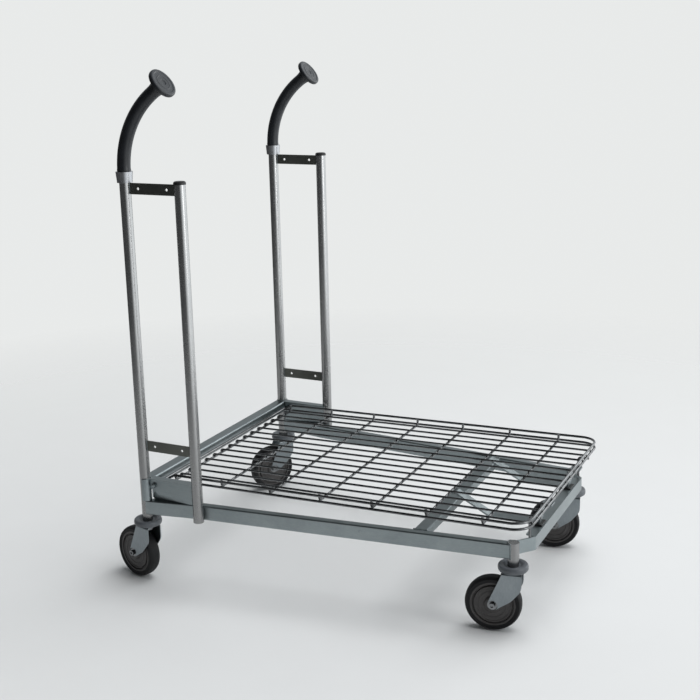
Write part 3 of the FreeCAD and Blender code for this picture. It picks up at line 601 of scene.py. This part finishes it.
def frameSeams(side, name):
    f = frameLines
    half = f["railWidth"] / 2
    railLow, railHigh = (corner[2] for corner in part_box("side_rail_" + name))
    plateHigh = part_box("side_plate_" + name)[1][2]
    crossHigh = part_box("rear_cross_rail")[1][2]
    barLow, barHigh = (corner[2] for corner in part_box("front_bar"))
    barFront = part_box("front_bar")[1][0]
    midLow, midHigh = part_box("mid_cross_rail")
    casterX, casterY = joints["swivel_turn_front_" + name]["pos_m"][:2]
    post, upright = Vector((postX, side * postY)), Vector((uprightX, side * postY))
    caster = Vector((casterX, casterY))
    bend = Vector((uprightX, side * (postY - tubeRadius - half)))
    front = Vector((casterX, casterY + side * f["railShift"]))
    rear = Vector((postX, side * (postY + tubeRadius - half)))
    outward = Vector((0, side * half))
    r = tubeRadius + f["beadIn"]
    seams = [upSeam(meet(rear + outward, bend + outward, upright, r), railLow, railHigh),
             upSeam(meet(bend + outward, front + outward, caster, r), railLow, railHigh),
             upSeam(meet(bend - outward, front - outward, caster, r), railLow, railHigh),
             arcSeam(upright, r, railHigh, *f["uprightArc"], side),
             arcSeam(caster, r, railHigh, *f["casterArc"], side),
             arcSeam(post, r, crossHigh, *f["postArc"], side)]
    plateY = side * (postY + f["plateStep"])
    seams.append(upSeam(meet(Vector((postX, plateY)), Vector((uprightX, plateY)), upright, r),
                        f["plateLow"], plateHigh))
    corner = Vector((barFront, side * f["barCorner"]))
    turned = math.radians(f["barReturn"])
    end = corner + Vector((-math.tan(turned), side)) * (abs(casterY) - f["barCorner"])
    seams.append(upSeam(meet(corner, end, caster, r), barLow, barHigh))
    inner = [bend - outward, front - outward]
    slope = (inner[1].y - inner[0].y) / (inner[1].x - inner[0].x)
    ends = [Vector((x, inner[0].y + slope * (x - inner[0].x))) for x in (midLow[0], midHigh[0])]
    seams.append([Vector((end.x, end.y, midHigh[2])) for end in ends])
    seams += [upSeam(end, midLow[2], midHigh[2]) for end in ends]
    return seams


deckLook = {"tilt": 1.085, "firstCross": 0.028, "crossPitch": 0.128, "crossWires": 7, "longPitch": 0.037,
            "longWires": 15, "contact": 0.003, "rimInside": 0.003, "rimRise": 0.0135, "frontRim": 0.895}
deckNuggets = {"Bead": 0.0026, "Unevenness": 0.12}


def deckPoint(along, across, height):
    # a point on the resting deck, from the hinge axis
    tilt = math.radians(deckLook["tilt"])
    hinge = Vector(joints["deck_fold"]["pos_m"])
    return hinge + Vector((along * math.cos(tilt) - height * math.sin(tilt), across,
                           along * math.sin(tilt) + height * math.cos(tilt)))


def deckCrossings():
    d = deckLook
    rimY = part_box("deck_lower_rim")[1][1] - 2 * d["rimInside"]
    crossX = [d["firstCross"] + k * d["crossPitch"] for k in range(d["crossWires"])]
    longY = [(k - (d["longWires"] - 1) / 2) * d["longPitch"] for k in range(d["longWires"])]
    points = [deckPoint(x, y, d["contact"]) for x in crossX + [d["frontRim"]] for y in longY]
    points += [deckPoint(x, side * rimY, height)
               for x in crossX for side in (-1, 1) for height in (0, d["rimRise"])]
    return [[point] for point in points]


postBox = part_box("rear_post_left")
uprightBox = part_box("front_upright_left")
tubeRadius = (uprightBox[1][0] - uprightBox[0][0]) / 2
postX = postBox[0][0] + tubeRadius
postY = (postBox[0][1] + postBox[1][1]) / 2
uprightX = (uprightBox[0][0] + uprightBox[1][0]) / 2

makeWheels()
print("tyres and hubs ready")
makeBumpers()
makeGrips()
makeGripDiscs()
print("rubber parts ready")
makeHingeCaps()
for sideName, sideSign in ladderSides.items():
    beadPiece("frame_welds_" + sideName, frameSeams(sideSign, sideName), "zinc_steel", "frame", frameBeads)
    beadPiece("ladder_welds_" + sideName, ladderSeams(sideName), "zinc_steel", "frame", lightBeads)
beadPiece("deck_weld_nuggets", deckCrossings(), "chromed_wire", "deck", deckNuggets)
print("welds ready")


# Studio

viewer = {"place": (1.164, -2.4596, 1.2462), "azimuth": 25.89, "down": 14.80, "roll": -1.19, "lens": 60.26}
studio = {"floorRadius": 4.0, "fadeStart": 0.6, "fadeEnd": 2.8, "floor": (0.70, 0.71, 0.715),
          "backdrop": (0.81, 0.825, 0.82), "darkRoom": 0.075, "brightSide": 1.30, "behind": 0.40,
          "tint": (0.94, 0.98, 1.0), "mottle": 5.0, "mottleShade": 0.985, "sideEdges": (0.05, 0.75),
          "ceilingEdges": (-0.1, 0.9), "ceilingLevels": (1.0, 0.6), "behindEdges": (0.3, 0.9),
          "skirtingEdges": (0.0, 0.12)}
lamps = {"key": {"place": (3.3, -0.4, 1.5), "aim": (0, 0, 0.6), "width": 0.9, "height": 2.6, "power": 20.0},
         "rim": {"place": (1.6, 3.4, 2.2), "aim": (0, 0, 0.5), "width": 1.4, "height": 2.0, "power": 14.0},
         "overhead": {"place": (0.9, 0.8, 5.5), "aim": (-0.4, 0, 0), "width": 4.0, "height": 4.0,
                      "power": 262.0, "shines": False}}


def paleFloor():
    # a matt pale disc that fades into the backdrop colour before its edge
    mesh = bpy.data.meshes.new("floor")
    rings = bmesh.new()
    bmesh.ops.create_circle(rings, cap_ends=True, segments=96, radius=studio["floorRadius"])
    rings.to_mesh(mesh)
    rings.free()
    floor = bpy.data.objects.new("floor", mesh)
    bpy.context.scene.collection.objects.link(floor)
    material, bench = newMaterial("pale_floor")
    coords = bench.add("ShaderNodeTexCoord", output=3)
    distance = bench.add("ShaderNodeVectorMath", {"operation": "LENGTH"}, {0: coords}, output=1)
    fade = spread(bench, distance, studio["fadeStart"], studio["fadeEnd"])
    mottle = spread(bench, noise(bench, coords, studio["mottle"], 4.0, 0.6), 0.3, 0.7)
    shaded = tuple(studio["mottleShade"] * c for c in studio["floor"])
    paper = blendColours(bench, mottle, shaded, studio["floor"])
    matt = bench.add("ShaderNodeBsdfDiffuse", {}, {"Color": paper})
    clear = bench.add("ShaderNodeBsdfTransparent")
    both = bench.add("ShaderNodeMixShader", {}, {0: fade, 1: matt, 2: clear})
    bench.add("ShaderNodeOutputMaterial", {}, {"Surface": both})
    floor.data.materials.append(material)


def studioWorld():
    # pale for the camera; a dark room with a bright side and a paler far wall for the reflections
    world = bpy.data.worlds.new("studio")
    bpy.context.scene.world = world
    world.use_nodes = True
    world.node_tree.nodes.clear()
    bench = Bench(world.node_tree)
    turn = math.radians(viewer["azimuth"])
    direction = bench.add("ShaderNodeTexCoord")
    toRight = bench.add("ShaderNodeVectorMath", {"operation": "DOT_PRODUCT"},
                        {0: direction, 1: (math.cos(turn), math.sin(turn), 0)}, output=1)
    side = spread(bench, toRight, *studio["sideEdges"])
    away = bench.add("ShaderNodeVectorMath", {"operation": "DOT_PRODUCT"},
                     {0: direction, 1: (-math.sin(turn), math.cos(turn), 0)}, output=1)
    above = bench.add("ShaderNodeSeparateXYZ", {}, {0: direction}, output=2)
    height = spread(bench, above, *studio["ceilingEdges"], *studio["ceilingLevels"])
    behind = spread(bench, away, *studio["behindEdges"]) * spread(bench, above, *studio["skirtingEdges"])
    level = (studio["darkRoom"] + side * (studio["brightSide"] - studio["darkRoom"])) * height
    level = level + behind * studio["behind"]
    tint = bench.add("ShaderNodeRGB")
    tint.socket.default_value = (*studio["tint"], 1)
    room = bench.add("ShaderNodeVectorMath", {"operation": "SCALE"}, {0: tint, "Scale": level})
    seen = bench.add("ShaderNodeRGB")
    seen.socket.default_value = (*studio["backdrop"], 1)
    ray = bench.add("ShaderNodeLightPath")
    back = bench.add("ShaderNodeBackground", {},
                     {"Color": blendColours(bench, ray, room, seen), "Strength": 1.0})
    bench.add("ShaderNodeOutputWorld", {}, {"Surface": back})


def softbox(name, place, aim, width, height, power, shines=True):
    light = bpy.data.lights.new(name, "AREA")
    light.shape = "RECTANGLE"
    light.size = width
    light.size_y = height
    light.energy = power
    lamp = bpy.data.objects.new(name, light)
    bpy.context.scene.collection.objects.link(lamp)
    lamp.location = place
    lamp.rotation_euler = (Vector(aim) - Vector(place)).to_track_quat("-Z", "Y").to_euler()
    lamp.visible_glossy = shines


def placeCamera():
    turn = math.radians(viewer["azimuth"])
    down = math.radians(viewer["down"])
    roll = math.radians(viewer["roll"])
    ahead = Vector((-math.sin(turn) * math.cos(down), math.cos(turn) * math.cos(down), -math.sin(down)))
    level = Vector((math.cos(turn), math.sin(turn), 0))
    upright = level.cross(ahead)
    right = level * math.cos(roll) + upright * math.sin(roll)
    up = upright * math.cos(roll) - level * math.sin(roll)
    data = bpy.data.cameras.new("camera")
    data.sensor_width = 36
    data.lens = viewer["lens"]
    camera = bpy.data.objects.new("camera", data)
    bpy.context.scene.collection.objects.link(camera)
    turned = Matrix((right, up, -ahead)).transposed().to_4x4()
    camera.matrix_world = Matrix.Translation(viewer["place"]) @ turned
    bpy.context.scene.camera = camera


paleFloor()
studioWorld()
for lampName, lamp in lamps.items():
    softbox(lampName, **lamp)
placeCamera()
bpy.context.scene.view_settings.view_transform = "Standard"
print("studio ready")
